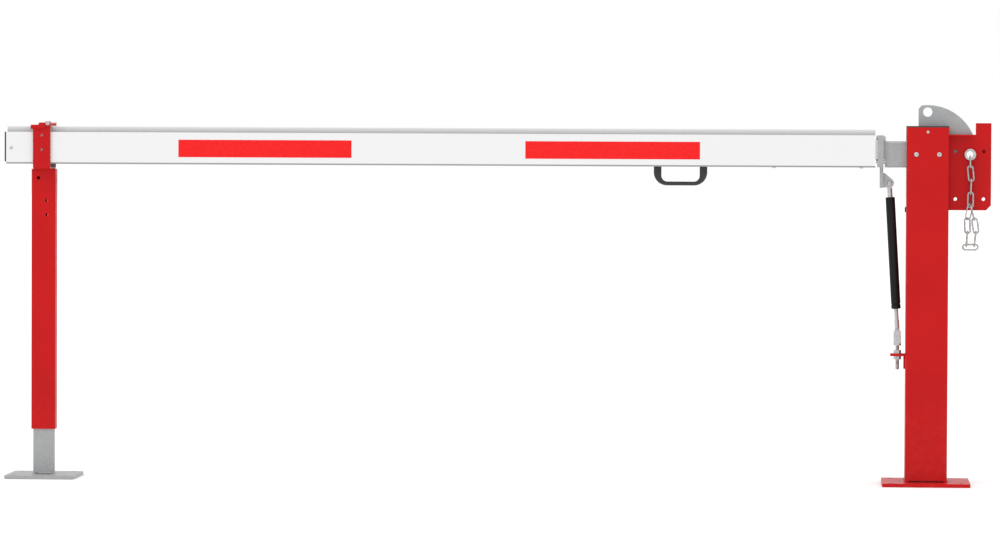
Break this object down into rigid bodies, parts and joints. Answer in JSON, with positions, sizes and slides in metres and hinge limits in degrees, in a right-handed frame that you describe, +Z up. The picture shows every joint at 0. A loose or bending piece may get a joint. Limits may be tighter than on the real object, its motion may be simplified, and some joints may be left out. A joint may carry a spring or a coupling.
{
  "type": "lift-up boom barrier",
  "caption": "Manual lift-up boom barrier with a square post, gas strut, reflective boom and telescopic support leg with a latching fork.",
  "frame": {"origin": "centre of the post's base plate on its underside, at ground level", "axes": "+X to the right from the boom towards the post, +Y away from the viewer, +Z up; the boom runs towards -X"},
  "size_m": [2.8345, 0.25, 1.086],
  "materials": {
    "base": "satin powder coat",
    "post": "satin powder coat",
    "cap": "moulded",
    "screws": "zinc plated",
    "bearing": "machined",
    "bush": "turned",
    "bolts": "zinc plated",
    "plug": "moulded",
    "guard": "satin powder coat",
    "lock_bush": "zinc plated",
    "fork_head": "zinc plated",
    "pins": "zinc plated",
    "stud": "zinc plated",
    "nuts": "zinc plated",
    "strut_bracket": "satin powder coat",
    "leg_outer": "satin powder coat",
    "clamp_screw": "zinc plated",
    "fork_strap": "satin powder coat",
    "rest_pad": "moulded",
    "hinge_lugs": "satin powder coat",
    "latch_pin": "zinc plated",
    "shaft": "ground",
    "collar": "zinc plated",
    "arm": "galvanised",
    "quadrant": "galvanised",
    "spacer": "galvanised",
    "hanger": "galvanised",
    "flange": "galvanised",
    "insert": "mill",
    "boom": "white powder coat on an aluminium extrusion",
    "end_cap": "moulded",
    "tape": "retroreflective film",
    "handle": "moulded",
    "ears": "galvanised",
    "rod": "polished",
    "cylinder": "black enamel",
    "eye": "zinc plated",
    "leg_inner": "galvanised",
    "foot": "galvanised",
    "flap": "satin powder coat",
    "clip": "zinc plated",
    "chain": "galvanised",
    "shackle": "galvanised"
  },
  "bodies": {
    "post_frame": {"base_plate": "base", "post_tube": "post", "post_cap_front": "cap", "post_cap_rear": "cap", "cap_screws": "screws", "bearing_front": "bearing", "bearing_rear": "bearing", "bush_front": "bush", "bush_rear": "bush", "bearing_bolts": "bolts", "side_plug": "plug", "lock_guard_front": "guard", "lock_guard_rear": "guard", "lock_bush_front": "lock_bush", "lock_bush_rear": "lock_bush", "strut_fork_head": "fork_head", "strut_clevis_pin": "pins", "adjusting_stud": "stud", "stud_nuts": "nuts", "strut_bracket": "strut_bracket", "leg_outer_tube": "leg_outer", "leg_clamp_screw": "clamp_screw", "fork_strap": "fork_strap", "rest_pad": "rest_pad", "flap_hinge_lugs": "hinge_lugs", "flap_hinge_pin": "pins", "latch_pin": "latch_pin"},
    "boom": {"pivot_shaft": "shaft", "shaft_collar_front": "collar", "shaft_collar_rear": "collar", "arm_tube": "arm", "lock_quadrant": "quadrant", "spacer_plate": "spacer", "hanger_plate": "hanger", "boom_flange": "flange", "flange_bolts": "bolts", "boom_insert": "insert", "insert_screws": "screws", "boom_profile": "boom", "boom_end_cap": "end_cap", "end_cap_screws": "screws", "reflective_tapes": "tape", "lift_handle": "handle", "handle_screws": "screws", "strut_ears": "ears", "strut_top_bolt": "bolts"},
    "strut_rod": {"strut_rod": "rod"},
    "strut_cylinder": {"strut_cylinder": "cylinder", "strut_top_eye": "eye"},
    "leg_foot": {"leg_inner_tube": "leg_inner", "foot_plate": "foot"},
    "flap": {"latch_flap": "flap"},
    "clip": {"spring_clip": "clip"},
    "chain_upper": {"chain_upper_links": "chain"},
    "chain_loop": {"chain_loop_links": "chain", "chain_shackle": "shackle"}
  },
  "joints": [
    {"name": "boom_lift", "type": "hinge", "parent": "post_frame", "child": "boom", "pos_m": [0, 0, 0.945], "axis": [0, 1, 0], "range_deg": [0, 90]},
    {"name": "strut_swing", "type": "hinge", "parent": "post_frame", "child": "strut_rod", "pos_m": [-0.0825, 0, 0.431], "axis": [0, 1, 0], "range_deg": [0, 3.43]},
    {"name": "strut_stroke", "type": "slide", "parent": "strut_rod", "child": "strut_cylinder", "axis": [-0.0589, 0, 0.9983], "range_m": [0, 0.1893]},
    {"name": "leg_height", "type": "slide", "parent": "post_frame", "child": "leg_foot", "axis": [0, 0, -1], "range_m": [-0.1, 0.06]},
    {"name": "flap_open", "type": "hinge", "parent": "post_frame", "child": "flap", "pos_m": [-2.545, 0.06, 1.0213], "axis": [-1, 0, 0], "range_deg": [0, 110]},
    {"name": "clip_pull", "type": "slide", "parent": "post_frame", "child": "clip", "axis": [1, 0, 0], "range_m": [0, 0.035]},
    {"name": "chain_swing", "type": "hinge", "parent": "post_frame", "child": "chain_upper", "pos_m": [0.121, -0.031, 0.9333], "axis": [0, 1, 0], "range_deg": [-10, 3]},
    {"name": "chain_loop_swing", "type": "hinge", "parent": "chain_upper", "child": "chain_loop", "pos_m": [0.1223, -0.031, 0.7996], "axis": [0, 1, 0], "range_deg": [-8, 4]}
  ],
  "couplings": [
    {"joint": "strut_swing", "follows": "boom_lift", "ratio": 0.038046},
    {"joint": "strut_stroke", "follows": "boom_lift", "m_per_rad": 0.12048}
  ]
}
